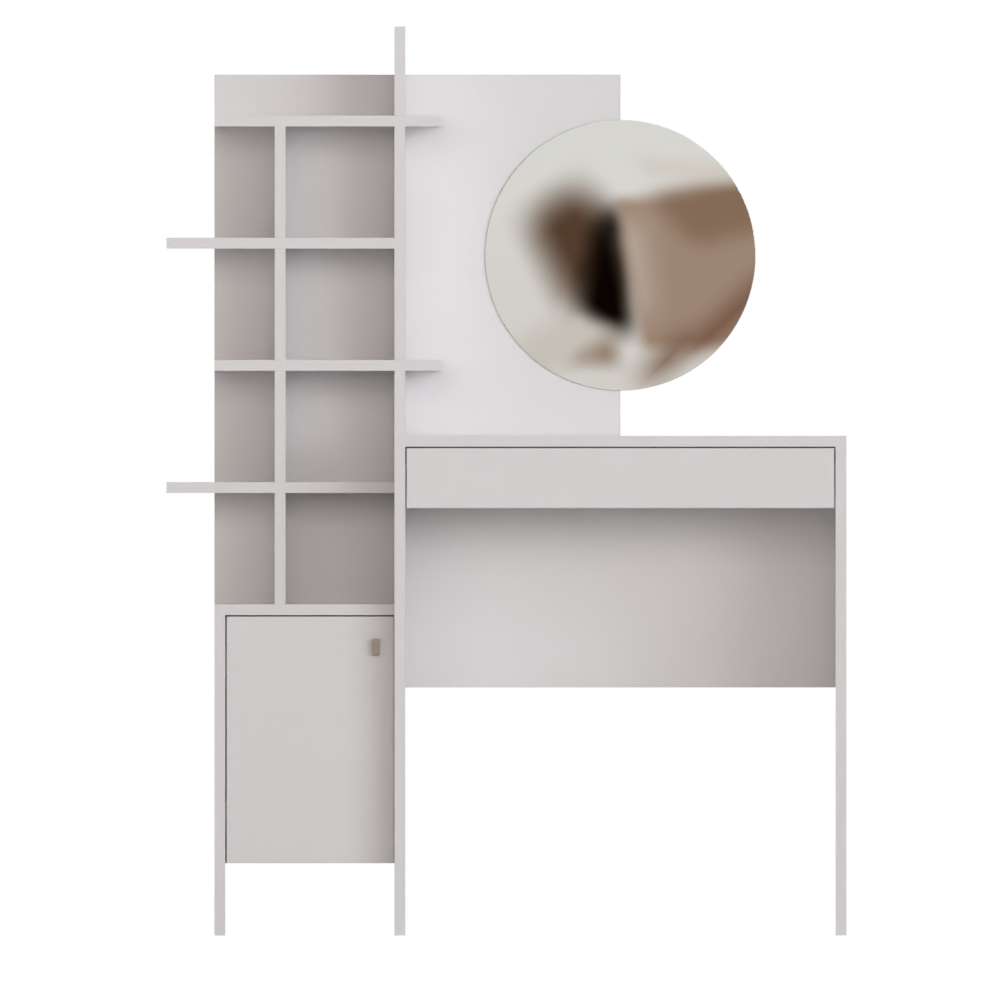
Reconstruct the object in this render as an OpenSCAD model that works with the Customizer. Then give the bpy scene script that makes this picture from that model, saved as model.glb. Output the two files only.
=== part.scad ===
// Dressing table: a desk with one drawer, a round mirror on a back panel,
// and a shelf tower over a small cabinet. Millimetres, +Z up, the front faces -Y.
// The origin is on the floor, in the middle of the whole footprint.

/* [Boards] */
// Thickness of every coated board
board_t = 16; // [15:0.5:19]
// Thickness of the thin fibreboard panels
thin_t = 3; // [2.5:0.1:5]
// Play on each side of a board in a slot, or of a thin panel in its groove
slot_play = 0.1; // [0.05:0.05:0.3]
// How deep a thin panel's groove is cut
groove_depth = 6; // [4:0.5:8]

/* [Desk] */
// Width over the two desk sides
desk_w = 668; // [600:1:900]
// Depth of the desk
desk_d = 400; // [392:1:440]
// Height of the desk top's upper face
desk_h = 738.4; // [715:0.1:790]
// Height of the modesty panel below the desk top
modesty_h = 355.8; // [260:0.1:500]

/* [Tower] */
// Width of the tower, from its left edge to the desk
tower_w = 266; // [240:1:320]
// How far the shifted shelves reach past the tower and past the upright
overhang = 71; // [60:1:100]
// Width of the left column of bays
left_bay_w = 89; // [70:1:110]
// Clear height of each bay
bay_h = 164.6; // [150:0.1:190]
// Depth of the shelves, the divider and the bays
shelf_d = 224; // [200:1:250]
// Height of the back panels above the top shelf
back_rise = 60.4; // [20:0.1:120]
// Height of the upright above the back panels
upright_rise = 71.2; // [10:0.1:150]

/* [Cabinet] */
// Height of the cabinet's upper face
cabinet_h = 489.4; // [460:0.1:500]
// Depth of the cabinet, measured from the back
cabinet_d = 329; // [300:1:360]
// Free height below the cabinet
cabinet_clear = 106.8; // [60:0.1:160]
// Distance from the back to the thin cabinet back
cabinet_back_inset = 18; // [14:0.5:30]

/* [Door] */
// Gap over the door and at its hinge side
door_gap = 2; // [1.9:0.1:3]
// Gap at the door's free side
door_free_gap = 0.8; // [0.6:0.1:2]
// Distance from the door's edge to the hinge pins
pin_inset = 22; // [21:0.5:26]
// Distance from the door's front face to the hinge pins
pin_depth = 8.5; // [8:0.1:9]
// Distance from the door's ends to the middle of each hinge
hinge_inset = 70; // [55:1:110]
// Radius of the hinge cups
cup_r = 17.5; // [17:0.1:18]
// Depth of the hinge cups
cup_depth = 12.5; // [12:0.1:13]
// Thickness of the two door bumpers
bumper_t = 1.5; // [1:0.1:2.5]
// Radius of the door bumpers
bumper_r = 4; // [3:0.5:6]
// Distance from the hinge pins back to the middle of their plates
plate_back = 45; // [40:1:60]

/* [Knob] */
// Width of the knob
knob_w = 11.5; // [8:0.5:20]
// Height of the knob
knob_h = 24.5; // [14:0.5:40]
// Distance from the knob's face to the door
knob_reach = 20; // [14:0.5:30]
// Distance from the door's free edge to the knob's middle
knob_side = 26.5; // [18:0.5:60]
// Distance from the door's upper edge to the knob's middle
knob_drop = 45; // [30:0.5:120]

/* [Drawer] */
// Height of the drawer front
drawer_front_h = 88.8; // [82:0.1:110]
// Gap round the drawer front
drawer_gap = 2; // [1:0.1:3]
// Height of the drawer's sides
drawer_side_h = 60; // [56:0.5:70]
// Length of the runners
runner_len = 350; // [300:1:352]
// Thickness of each runner, which is the space beside the drawer
runner_w = 12.7; // [12.6:0.1:14]
// Height of each runner
runner_h = 35; // [35:0.5:40]
// Sheet thickness of the runners
runner_sheet = 1.2; // [1:0.1:1.3]
// Radius of the bearing balls
ball_r = 1.6; // [1.4:0.05:1.65]

/* [Mirror] */
// Width of the panel behind the mirror
mirror_panel_w = 318; // [290:1:420]
// Diameter of the mirror
mirror_d = 400; // [300:1:440]
// Thickness of the glass
mirror_t = 4; // [3:0.5:6]
// Thickness of the mounting tape
tape_t = 1; // [0.5:0.1:2]

/* [Hidden] */
$fn = 48;
cam_r = 7.5;
cam_depth = 12.5;
cam_setback = 24;
bolt_r = 3.4;
thread_r = 2.5;
thread_len = 11;
dowel_r = 4;
dowel_in = 18;
dowel_out = 12;
wood_screw = [2, 3.8, 2.4, 40];
small_screw = [1.75, 3, runner_sheet, 13];
eps = 0.01;

x_left = -(overhang + tower_w + desk_w) / 2;
x_tower = x_left + overhang;
x_cab_in = x_tower + board_t;
x_desk = x_tower + tower_w;
x_desk_in = x_desk + board_t;
x_right = x_desk + desk_w;
x_right_in = x_right - board_t;
x_divider = x_tower + left_bay_w;
x_mirror = x_desk_in + mirror_panel_w;

y_front = -desk_d / 2;
y_back = desk_d / 2;
y_panel = y_back - board_t;
y_mid = y_back - board_t / 2;
y_shelf = y_panel - shelf_d;
y_lap = y_shelf + shelf_d / 2;
y_cab = y_back - cabinet_d;

z_side = desk_h - board_t;
z_modesty = z_side - modesty_h;
z_cab_top = cabinet_h - board_t;
shelf_pitch = bay_h + board_t;
function z_shelf(n) = cabinet_h + n * shelf_pitch - board_t;
function z_bay(n) = z_shelf(n) + board_t + bay_h / 2;
z_back_top = z_shelf(4) + board_t + back_rise;
z_top = z_back_top + upright_rise;
shelf_len = tower_w + overhang;

// The door hangs between the cabinet side and the desk side.
door_x = x_cab_in + door_gap;
door_w = x_desk - door_free_gap - door_x;
door_h = z_cab_top - door_gap - cabinet_clear;
door_rear = y_cab + board_t;
pin_x = door_x + pin_inset;
pin_y = y_cab + pin_depth;
pin_r = 1.5;
pin_play = 0.08;
cup_x = pin_x + 2;
cup_wall = 1;
flange_t = 1.2;
arm_w = 12;
arm_t = 3;
arm_angle = 35;
arm_back_angle = 125;
lug_t = 3;
lug_play = 0.4;
swing_r = norm([pin_inset, board_t - pin_depth]);
arm_r = swing_r + 2.8 + arm_t / 2;
plate_t = 2.2;
// How far the arm's flat end stands off the cabinet side.
arm_stand = 6;
plate_len = 48;
plate_wing = 22;
cup_screw_x = 9.5;
cup_screw_z = 24;
hinge_z = [cabinet_clear + hinge_inset, cabinet_clear + door_h - hinge_inset];
knob_x = door_x + door_w - knob_side;
knob_z = cabinet_clear + door_h - knob_drop;
y_bottom = door_rear + bumper_t;
bumper_inset = 30;

// The drawer, from the desk's inner faces inwards.
y_drawer = y_front + board_t;
z_drawer = z_side - drawer_gap - drawer_front_h;
z_drawer_side = z_drawer + (drawer_front_h - drawer_side_h) / 2;
z_runner = z_drawer_side + drawer_side_h / 2;
runner_start = 2;
y_runner = y_drawer + runner_start;
drawer_len = runner_len + runner_start;
x_dl = x_desk_in + runner_w;
x_dr = x_right_in - runner_w;
x_dl_in = x_dl + board_t;
x_dr_in = x_dr - board_t;
z_drawer_floor = z_drawer_side + 8;
y_drawer_back = y_drawer + drawer_len - board_t;

// The runner's layers: cabinet member, balls, middle member, balls, drawer member.
ball_play = 0.3;
race = 2 * (ball_r + ball_play);
z_outer = runner_h / 2 - runner_sheet;
z_middle = z_outer - race;
z_inner = z_middle - runner_sheet - race;
z_balls_1 = z_outer - race / 2;
z_balls_2 = z_middle - runner_sheet - race / 2;
lip = 0.8;
race_x = 7.4;
race_end = race_x + ball_r + ball_play;
cage_t = 0.6;
cage_gap = 0.4;
x_cage_1 = runner_sheet + cage_gap;
x_middle = x_cage_1 + cage_t + cage_gap;
x_cage_2 = x_middle + runner_sheet + cage_gap;
x_inner = x_cage_2 + cage_t + 0.6;
cage_len = runner_len / 2 - 10;
balls_in_row = 7;

// A joint is [cam middle on its face, the face's normal, the way its bolt points].
side_cams = [for (y = [y_front + 60, y_back - 60], s = [0, 1])
    [[s == 0 ? x_desk_in : x_right_in, y, z_side - cam_setback], [1 - 2 * s, 0, 0], [0, 0, 1]]];
modesty_cams = [for (z = [z_modesty + 60, z_side - 60], s = [0, 1])
    [[s == 0 ? x_desk_in + cam_setback : x_right_in - cam_setback, y_back, z], [0, 1, 0], [2 * s - 1, 0, 0]]];
cabinet_cams = [for (y = [y_cab + 50, y_back - 60]) each [
    [[x_cab_in, y, z_cab_top - cam_setback], [1, 0, 0], [0, 0, 1]],
    [[x_desk - cam_setback, y, z_cab_top], [0, 0, -1], [1, 0, 0]]]];
floor_cams = [for (y = [y_cab + 80, y_back - 60]) each [
    [[x_cab_in + cam_setback, y, cabinet_clear], [0, 0, -1], [-1, 0, 0]],
    [[x_desk - cam_setback, y, cabinet_clear], [0, 0, -1], [1, 0, 0]]]];
tower_cams = concat(
    [for (x = [x_tower + 50, x_desk - 50]) [[x, y_back, cabinet_h + cam_setback], [0, 1, 0], [0, 0, -1]]],
    [for (n = [0, 2, 3]) [[x_desk - cam_setback, y_back, z_bay(n)], [0, 1, 0], [1, 0, 0]]]);
mirror_cams = concat(
    [for (x = [x_desk_in + 60, x_mirror - 60]) [[x, y_back, desk_h + cam_setback], [0, 1, 0], [0, 0, -1]]],
    [for (n = [2, 3]) [[x_desk_in + cam_setback, y_back, z_bay(n) - 30], [0, 1, 0], [-1, 0, 0]]]);
capped_cams = concat(
    [for (y = [y_shelf + 40, y_back - 90]) [[x_desk, y, desk_h + cam_setback], [-1, 0, 0], [0, 0, -1]]],
    [for (n = [1, 3]) [[x_desk - cam_setback, y_shelf + 60, z_shelf(n)], [0, 0, -1], [1, 0, 0]]]);
root_cams = concat(side_cams, modesty_cams, cabinet_cams, floor_cams, tower_cams, mirror_cams, capped_cams);
drawer_cam_list = [for (s = [0, 1])
    [[s == 0 ? x_dl_in : x_dr_in, y_drawer + cam_setback, z_runner + 8], [1 - 2 * s, 0, 0], [0, -1, 0]]];

// A dowel is [its middle on the joint's face, the way its short end points].
root_dowels = concat(
    [for (y = [y_front + 105, y_back - 105], x = [x_desk, x_right_in]) [[x + board_t / 2, y, z_side], [0, 0, 1]]],
    [for (z = [z_modesty + 110, z_side - 110]) each [
        [[x_desk_in, y_mid, z], [-1, 0, 0]], [[x_right_in, y_mid, z], [1, 0, 0]]]],
    [for (x = [x_desk_in + 150, x_right_in - 150]) [[x, y_mid, z_side], [0, 0, 1]]],
    [for (y = [y_cab + 90, y_back - 100]) each [
        [[x_tower + board_t / 2, y, z_cab_top], [0, 0, 1]],
        [[x_desk, y, z_cab_top + board_t / 2], [1, 0, 0]]]],
    [for (y = [y_cab + 120, y_back - 100]) each [
        [[x_cab_in, y, cabinet_clear + board_t / 2], [-1, 0, 0]],
        [[x_desk, y, cabinet_clear + board_t / 2], [1, 0, 0]]]],
    [for (x = [x_tower + 110, x_desk - 90]) [[x, y_mid, cabinet_h], [0, 0, -1]]],
    [for (y = [y_shelf + 50, y_panel - 50]) each [
        [[x_divider + board_t / 2, y, cabinet_h], [0, 0, -1]],
        [[x_divider + board_t / 2, y, z_shelf(4)], [0, 0, 1]]]],
    [[[x_desk + board_t / 2, y_shelf + 90, desk_h], [0, 0, -1]]],
    [for (x = [x_desk_in + 110, x_mirror - 110]) [[x, y_mid, desk_h], [0, 0, -1]]]);
drawer_dowel_list = [for (x = [x_dl, x_dr_in]) [[x + board_t / 2, y_drawer, z_runner - 13], [0, -1, 0]]];

// A screw is [the middle of its head's face, the way the head faces].
back_screw_list = concat(
    [for (n = [1 : 4], x = [x_tower + 35, x_desk - 50]) [[x, y_back, z_shelf(n) + board_t / 2], [0, 1, 0]]],
    [for (n = [2, 4]) [[x_desk_in + overhang / 2 - 8, y_back, z_shelf(n) + board_t / 2], [0, 1, 0]]],
    [for (n = [0, 2]) [[x_divider + board_t / 2, y_back, z_bay(n)], [0, 1, 0]]]);
drawer_screw_list = [for (z = [z_runner - 17, z_runner + 18]) each [
    [[x_dl, y_drawer_back + board_t / 2, z], [-1, 0, 0]],
    [[x_dr, y_drawer_back + board_t / 2, z], [1, 0, 0]]]];
runner_holes = [y_runner + 30, y_runner + runner_len / 2, y_runner + runner_len - 30];
runner_screw_list = [for (y = runner_holes) each [
    [[x_desk_in + runner_sheet, y, z_runner], [1, 0, 0]],
    [[x_right_in - runner_sheet, y, z_runner], [-1, 0, 0]]]];
slide_screw_list = [for (y = runner_holes) each [
    [[x_dl - runner_sheet, y, z_runner], [-1, 0, 0]],
    [[x_dr + runner_sheet, y, z_runner], [1, 0, 0]]]];
plate_screw_list = [for (z = hinge_z, s = [-1, 1])
    [[x_cab_in + plate_t, pin_y + plate_back, z + s * (plate_wing - 6)], [1, 0, 0]]];
cup_screw_list = [for (z = hinge_z, s = [-1, 1])
    [[cup_x + cup_screw_x, door_rear + flange_t, z + s * cup_screw_z], [0, 1, 0]]];

// Placing

// Stands local +Z on a normal and local +X along a direction.
module aim(p, n, a) {
    s = cross(n, a);
    multmatrix([[a.x, s.x, n.x, p.x], [a.y, s.y, n.y, p.y], [a.z, s.z, n.z, p.z], [0, 0, 0, 1]])
        children();
}

function square_to(n) = abs(n.z) > 0.5 ? [1, 0, 0] : [0, 0, 1];

// Is a point in the box with this lowest corner and size?
function inside(q, lo, size) =
    q.x > lo.x && q.y > lo.y && q.z > lo.z
    && q.x < lo.x + size.x && q.y < lo.y + size.y && q.z < lo.z + size.z;

// Does either of two points lie in the box?
function meets(a, b, lo, size) = inside(a, lo, size) || inside(b, lo, size);

// Local +X becomes the axis of a cylinder that starts at x and is len long.
module rod(x, len, r) {
    translate([x, 0, 0])
        rotate([0, 90, 0])
            cylinder(r = r, h = len);
}

// Fasteners

// A cam lock in its own frame: its face at z = 0, its bolt along +X.
module cam_lock() {
    difference() {
        translate([0, 0, -cam_depth])
            cylinder(r = cam_r, h = cam_depth);
        translate([0, 0, -board_t / 2])
            rod(1.2, cam_r, 3.3);
        for (a = [0, 90])
            rotate([0, 0, a])
                translate([-3, -0.6, -2])
                    cube([6, 1.2, 3]);
    }
}

// The bolt that a cam lock pulls on.
module cam_bolt() {
    translate([0, 0, -board_t / 2]) {
        rod(1.5, 3, 3);
        rod(4.5, 3.5, 1.8);
        rod(8, cam_setback - 8, bolt_r);
        rod(cam_setback, thread_len, thread_r);
    }
}

module cam_cut() {
    translate([0, 0, -cam_depth])
        cylinder(r = cam_r, h = cam_depth + 1);
    translate([0, 0, -board_t / 2]) {
        rod(0, cam_setback, dowel_r);
        rod(cam_setback - eps, thread_len + eps, thread_r);
    }
}

module screw(kind) {
    translate([0, 0, -kind[2]])
        cylinder(r1 = kind[0], r2 = kind[1], h = kind[2]);
    translate([0, 0, -kind[3]])
        cylinder(r = kind[0], h = kind[3] - kind[2]);
}

module screw_cut(kind) {
    screw(kind);
    cylinder(r = kind[1], h = 1);
}

module place_cams(list) {
    for (j = list)
        aim(j[0], j[1], j[2])
            children();
}

module place_dowels(list) {
    for (d = list)
        aim(d[0], square_to(d[1]), d[1])
            rod(-dowel_in, dowel_in + dowel_out, dowel_r);
}

module place_screws(list, kind) {
    for (s = list)
        aim(s[0], s[1], square_to(s[1]))
            screw(kind);
}

// Every bore that the fasteners need in the box with this lowest corner and size.
module bores(lo, size) {
    for (j = concat(root_cams, drawer_cam_list)) {
        mid = j[0] - j[1] * board_t / 2;
        if (meets(mid, mid + j[2] * (cam_setback + 5), lo, size))
            aim(j[0], j[1], j[2])
                cam_cut();
    }
    for (d = concat(root_dowels, drawer_dowel_list))
        if (meets(d[0] - d[1], d[0] + d[1], lo, size))
            aim(d[0], square_to(d[1]), d[1])
                rod(-dowel_in - 0.5, dowel_in + dowel_out + 1, dowel_r);
    screw_bores(concat(back_screw_list, drawer_screw_list), wood_screw, lo, size);
    screw_bores(concat(runner_screw_list, slide_screw_list, plate_screw_list, cup_screw_list),
        small_screw, lo, size);
}

module screw_bores(list, kind, lo, size) {
    for (s = list)
        if (meets(s[0] - s[1] * 0.5, s[0] - s[1] * (kind[3] - 2), lo, size))
            aim(s[0], s[1], square_to(s[1]))
                screw_cut(kind);
}

// A coated board with its bores, less what the children cut.
module board(lo, size) {
    color("#d9d6d7")
        difference() {
            translate(lo)
                cube(size);
            bores(lo, size);
            children();
        }
}

// Slot in an upright board for the shelf n, open to the front.
module slot_for_shelf(x, n) {
    translate([x - 1, y_shelf - 1, z_shelf(n) - slot_play])
        cube([board_t + 2, y_lap + slot_play - y_shelf + 1, board_t + 2 * slot_play]);
}

// Slot in the shelf n for an upright board at x, open to the back.
module slot_for_upright(x, n) {
    translate([x - slot_play, y_lap - slot_play, z_shelf(n) - 1])
        cube([board_t + 2 * slot_play, y_panel - y_lap + slot_play + 1, board_t + 2]);
}

// The space that the thin cabinet back and its play take.
module cabinet_back_groove() {
    translate([x_cab_in - groove_depth, y_back - cabinet_back_inset - thin_t - slot_play,
            cabinet_clear + board_t - groove_depth])
        cube([x_desk - x_cab_in + 2 * groove_depth, thin_t + 2 * slot_play,
            z_cab_top - cabinet_clear - board_t + 2 * groove_depth]);
}

// Desk

module desk_left_side() {
    board([x_desk, y_front, 0], [board_t, desk_d, z_side])
        cabinet_back_groove();
}

module desk_right_side() {
    board([x_right_in, y_front, 0], [board_t, desk_d, z_side]);
}

module desk_top() {
    board([x_desk, y_front, z_side], [desk_w, desk_d, board_t]);
}

module modesty_panel() {
    board([x_desk_in, y_panel, z_modesty], [x_right_in - x_desk_in, board_t, modesty_h]);
}

module mirror_panel() {
    board([x_desk_in, y_panel, desk_h], [mirror_panel_w, board_t, z_back_top - desk_h]);
}

// Tower

module upright() {
    board([x_desk, y_shelf, desk_h], [board_t, shelf_d + board_t, z_top - desk_h])
        for (n = [2, 4])
            slot_for_shelf(x_desk, n);
}

module tower_back() {
    board([x_tower, y_panel, cabinet_h], [tower_w, board_t, z_back_top - cabinet_h]);
}

module divider() {
    board([x_divider, y_shelf, cabinet_h], [board_t, shelf_d, z_shelf(4) - cabinet_h])
        for (n = [1 : 3])
            slot_for_shelf(x_divider, n);
}

// The odd shelves start at the far left, the even ones cross the upright.
module shelf(n) {
    x = n % 2 == 1 ? x_left : x_tower;
    board([x, y_shelf, z_shelf(n)], [shelf_len, shelf_d, board_t])
        union() {
            if (n < 4)
                slot_for_upright(x_divider, n);
            if (n % 2 == 0)
                slot_for_upright(x_desk, n);
        }
}

// Cabinet

module cabinet_side() {
    board([x_tower, y_cab, 0], [board_t, cabinet_d, z_cab_top])
        cabinet_back_groove();
}

module cabinet_top() {
    board([x_tower, y_cab, z_cab_top], [tower_w, cabinet_d, board_t])
        cabinet_back_groove();
}

// The front corner at the hinges is cut away for the swing of the door's edge.
module cabinet_bottom() {
    board([x_cab_in, y_bottom, cabinet_clear], [x_desk - x_cab_in, y_back - y_bottom, board_t])
        union() {
            cabinet_back_groove();
            translate([x_cab_in - 1, y_bottom - 1, cabinet_clear - 1])
                cube([pin_x + board_t - pin_depth + 6 - x_cab_in, pin_y + swing_r + 2.5 - y_bottom,
                    board_t + 2]);
        }
}

module cabinet_back() {
    reach = groove_depth - 0.5;
    color("#cfcac6")
        translate([x_cab_in - reach, y_back - cabinet_back_inset - thin_t, cabinet_clear + board_t - reach])
            cube([x_desk - x_cab_in + 2 * reach, thin_t, z_cab_top - cabinet_clear - board_t + 2 * reach]);
}

// Door

module door() {
    board([door_x, y_cab, cabinet_clear], [door_w, board_t, door_h])
        union() {
            for (z = hinge_z)
                translate([cup_x, door_rear - cup_depth, z])
                    rotate([-90, 0, 0])
                        cylinder(r = cup_r, h = cup_depth + 1);
            translate([knob_x, y_cab - 1, knob_z])
                rotate([-90, 0, 0])
                    cylinder(r = 2.2, h = board_t + 2);
        }
}

module round_rect(w, h, r) {
    square([w - 2 * r, h], center = true);
    square([w, h - 2 * r], center = true);
    for (sx = [-1, 1], sy = [-1, 1])
        translate([sx * (w / 2 - r), sy * (h / 2 - r)])
            circle(r = r);
}

// A block with eased edges, its middle at the origin.
module eased_block(w, d, h, r) {
    intersection() {
        linear_extrude(h, center = true)
            round_rect(w, d, r);
        rotate([90, 0, 0])
            linear_extrude(d, center = true)
                round_rect(w, h, r);
        rotate([90, 0, 90])
            linear_extrude(w, center = true)
                round_rect(d, h, r);
    }
}

module door_knob() {
    head = 9;
    neck_r = 4;
    color("#8d8079")
        translate([knob_x, y_cab, knob_z])
            difference() {
                union() {
                    translate([0, head / 2 - knob_reach, 0])
                        eased_block(knob_w, head, knob_h, 1.2);
                    rotate([90, 0, 0])
                        cylinder(r = neck_r, h = knob_reach - head / 2);
                    rotate([90, 0, 0])
                        cylinder(r = 5.4, h = 2);
                }
                translate([0, -9, 0])
                    rotate([-90, 0, 0])
                        cylinder(r = 2, h = 10);
            }
}

module knob_screw() {
    color("#b9bbbd")
        translate([knob_x, door_rear, knob_z])
            rotate([90, 0, 0]) {
                cylinder(r = 2, h = board_t + 8);
                translate([0, 0, -2.2])
                    cylinder(r = 4, h = 2.2);
            }
}

module hinge_cups() {
    color("#b4b6b8")
        for (z = hinge_z)
            translate([0, 0, z])
                difference() {
                    union() {
                        translate([cup_x, door_rear - cup_depth, 0])
                            rotate([-90, 0, 0])
                                difference() {
                                    cylinder(r = cup_r, h = cup_depth);
                                    translate([0, 0, cup_wall])
                                        cylinder(r = cup_r - cup_wall, h = cup_depth);
                                }
                        difference() {
                            union() {
                                translate([cup_x, door_rear, 0])
                                    rotate([-90, 0, 0])
                                        cylinder(r = cup_r + 1.5, h = flange_t);
                                translate([cup_x + 3, door_rear, -cup_screw_z - 6])
                                    cube([13, flange_t, 2 * cup_screw_z + 12]);
                            }
                            translate([cup_x, door_rear - 1, 0])
                                rotate([-90, 0, 0])
                                    cylinder(r = cup_r - cup_wall, h = flange_t + 2);
                        }
                        for (s = [-1, 1])
                            translate([pin_x - 4, door_rear - cup_depth + cup_wall / 2,
                                    s * (arm_w / 2 + lug_play + lug_t / 2) - lug_t / 2])
                                cube([8, pin_y + 3 - door_rear + cup_depth - cup_wall / 2, lug_t]);
                    }
                    translate([pin_x, pin_y, -arm_w])
                        cylinder(r = pin_r, h = 2 * arm_w);
                    for (s = [-1, 1])
                        translate([cup_x + cup_screw_x, door_rear + flange_t, s * cup_screw_z])
                            rotate([-90, 0, 0])
                                screw_cut(small_screw);
                }
}

module hinge_cup_screws() {
    color("#b9bbbd")
        place_screws(cup_screw_list, small_screw);
}

module hinge_pins() {
    half = arm_w / 2 + lug_play + lug_t;
    color("#c6c8ca")
        for (z = hinge_z)
            translate([pin_x, pin_y, z - half])
                cylinder(r = pin_r, h = 2 * half);
}

// Each arm starts round its pin, leaves the cup, turns round the door's edge and lies on its plate.
module hinge_arms() {
    back_x = arm_r * cos(arm_back_angle);
    back_y = arm_r * sin(arm_back_angle);
    color("#b4b6b8")
        for (z = hinge_z)
            translate([pin_x, pin_y, z - arm_w / 2])
                difference() {
                    union() {
                        cylinder(r = 3.4, h = arm_w);
                        rotate([0, 0, arm_angle])
                            translate([0, -arm_t / 2, 0])
                                cube([arm_r, arm_t, arm_w]);
                        rotate([0, 0, arm_angle])
                            rotate_extrude(angle = arm_back_angle - arm_angle)
                                translate([arm_r - arm_t / 2, 0])
                                    square([arm_t, arm_w]);
                        translate([x_cab_in + arm_stand - pin_x, back_y - 1.2, 0])
                            cube([back_x + arm_t / 2 - (x_cab_in + arm_stand - pin_x), 6, arm_w]);
                        translate([x_cab_in + arm_stand - pin_x, back_y - 1.2, 0])
                            cube([arm_t, plate_len + 10, arm_w]);
                    }
                    translate([0, 0, -1])
                        cylinder(r = pin_r + pin_play, h = arm_w + 2);
                }
}

module hinge_plates() {
    color("#b4b6b8")
        for (z = hinge_z)
            difference() {
                union() {
                    translate([x_cab_in, pin_y + plate_back - 9, z - plate_wing])
                        cube([plate_t, 18, 2 * plate_wing]);
                    translate([x_cab_in, pin_y + plate_back - plate_len / 2 + 6, z - arm_w / 2])
                        cube([arm_stand, plate_len - 8, arm_w]);
                }
                for (s = [-1, 1])
                    translate([x_cab_in + plate_t, pin_y + plate_back, z + s * (plate_wing - 6)])
                        rotate([0, 90, 0])
                            screw_cut(small_screw);
            }
}

module hinge_plate_screws() {
    color("#b9bbbd")
        place_screws(plate_screw_list, small_screw);
}

module door_bumpers() {
    color("#d8d8d4")
        for (x = [pin_x + swing_r + bumper_inset, x_desk - bumper_inset])
            translate([x, door_rear, cabinet_clear + board_t / 2])
                rotate([-90, 0, 0])
                    cylinder(r = bumper_r, h = bumper_t);
}

// Drawer

// The space of the thin drawer bottom and its play, in the front and the sides.
module drawer_groove() {
    translate([x_dl_in - groove_depth, y_drawer - groove_depth, z_drawer_floor - slot_play])
        cube([x_dr_in - x_dl_in + 2 * groove_depth, drawer_len + groove_depth + 1, thin_t + 2 * slot_play]);
}

module drawer_front() {
    board([x_desk_in + drawer_gap, y_front, z_drawer],
            [x_right_in - x_desk_in - 2 * drawer_gap, board_t, drawer_front_h])
        drawer_groove();
}

module drawer_side(x) {
    board([x, y_drawer, z_drawer_side], [board_t, drawer_len, drawer_side_h])
        drawer_groove();
}

module drawer_back() {
    z = z_drawer_floor + thin_t + slot_play;
    board([x_dl_in, y_drawer_back, z], [x_dr_in - x_dl_in, board_t, z_drawer_side + drawer_side_h - z]);
}

module drawer_bottom() {
    reach = groove_depth - 0.5;
    color("#cfcac6")
        translate([x_dl_in - reach, y_drawer - reach, z_drawer_floor])
            cube([x_dr_in - x_dl_in + 2 * reach, drawer_len + reach, thin_t]);
}

// Runners. Each is drawn for the left side, from the desk's inner face towards the drawer.

// Puts a part of the left runner in place, or mirrors it to the right side.
module runner_side(right) {
    translate([right ? x_right_in : x_desk_in, 0, z_runner])
        mirror([right ? 1 : 0, 0, 0])
            children();
}

// A bar along the runner, with its lowest corner in X and Z, its section and its length.
module bar(x, z, w, h, start = 0, len = runner_len) {
    translate([x, y_runner + start, z])
        cube([w, len, h]);
}

// The same bar above and below the runner's middle.
module bars(x, z, w, h, start = 0, len = runner_len) {
    bar(x, z, w, h, start, len);
    bar(x, -z - h, w, h, start, len);
}

module runner_outer(right) {
    lo = [right ? x_right_in - runner_sheet : x_desk_in, y_runner, z_runner - runner_h / 2];
    color("#a9acaf")
        difference() {
            runner_side(right) {
                bar(0, -runner_h / 2, runner_sheet, runner_h);
                bars(0, z_outer, race_end + runner_sheet, runner_sheet);
                bars(race_end, z_outer - lip, runner_sheet, lip + runner_sheet / 2);
            }
            screw_bores(runner_screw_list, small_screw, lo, [runner_sheet, runner_len, runner_h]);
        }
}

module runner_middle(right) {
    color("#a9acaf")
        runner_side(right) {
            bar(x_middle, -z_middle, runner_sheet, 2 * z_middle);
            bars(x_middle, z_middle - runner_sheet, race_end + runner_sheet - x_middle, runner_sheet);
            bars(race_end, z_middle - runner_sheet - lip, runner_sheet, runner_sheet + 2 * lip);
        }
}

module runner_inner(right) {
    lo = [right ? x_dr : x_dl - runner_sheet, y_runner, z_runner - z_inner];
    color("#a9acaf")
        difference() {
            runner_side(right) {
                bar(runner_w - runner_sheet, -z_inner, runner_sheet, 2 * z_inner);
                bars(x_inner, z_inner - runner_sheet, runner_w - x_inner, runner_sheet);
            }
            screw_bores(slide_screw_list, small_screw, lo, [runner_sheet, runner_len, 2 * z_inner]);
        }
}

function ball_y(i) = y_runner + runner_len / 2 + (i / (balls_in_row - 1) - 0.5) * (cage_len - 16);

// The bent strip that spaces the balls at the height z above and below the runner's middle.
module cage(right, x, z) {
    start = (runner_len - cage_len) / 2;
    color("#3b3d40")
        runner_side(right)
            difference() {
                union() {
                    bar(x, -z - cage_t / 2, cage_t, 2 * z + cage_t, start, cage_len);
                    bars(x, z - cage_t / 2, race_end - x, cage_t, start, cage_len);
                }
                for (i = [0 : balls_in_row - 1], s = [-1, 1])
                    translate([race_x, ball_y(i), s * z - cage_t])
                        cylinder(r = ball_r + 0.15, h = 2 * cage_t);
            }
}

module balls(right, z) {
    color("#c6c8ca")
        runner_side(right)
            for (i = [0 : balls_in_row - 1], s = [-1, 1])
                translate([race_x, ball_y(i), s * z])
                    sphere(r = ball_r);
}

// Mirror

module mirror_glass() {
    bevel = 0.6;
    color("#c3ccd1")
        translate([x_mirror, y_panel - tape_t, (desk_h + z_back_top) / 2])
            rotate([90, 0, 0]) {
                cylinder(r = mirror_d / 2, h = mirror_t - bevel, $fn = 180);
                translate([0, 0, mirror_t - bevel])
                    cylinder(r1 = mirror_d / 2, r2 = mirror_d / 2 - bevel, h = bevel, $fn = 180);
            }
}

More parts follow.
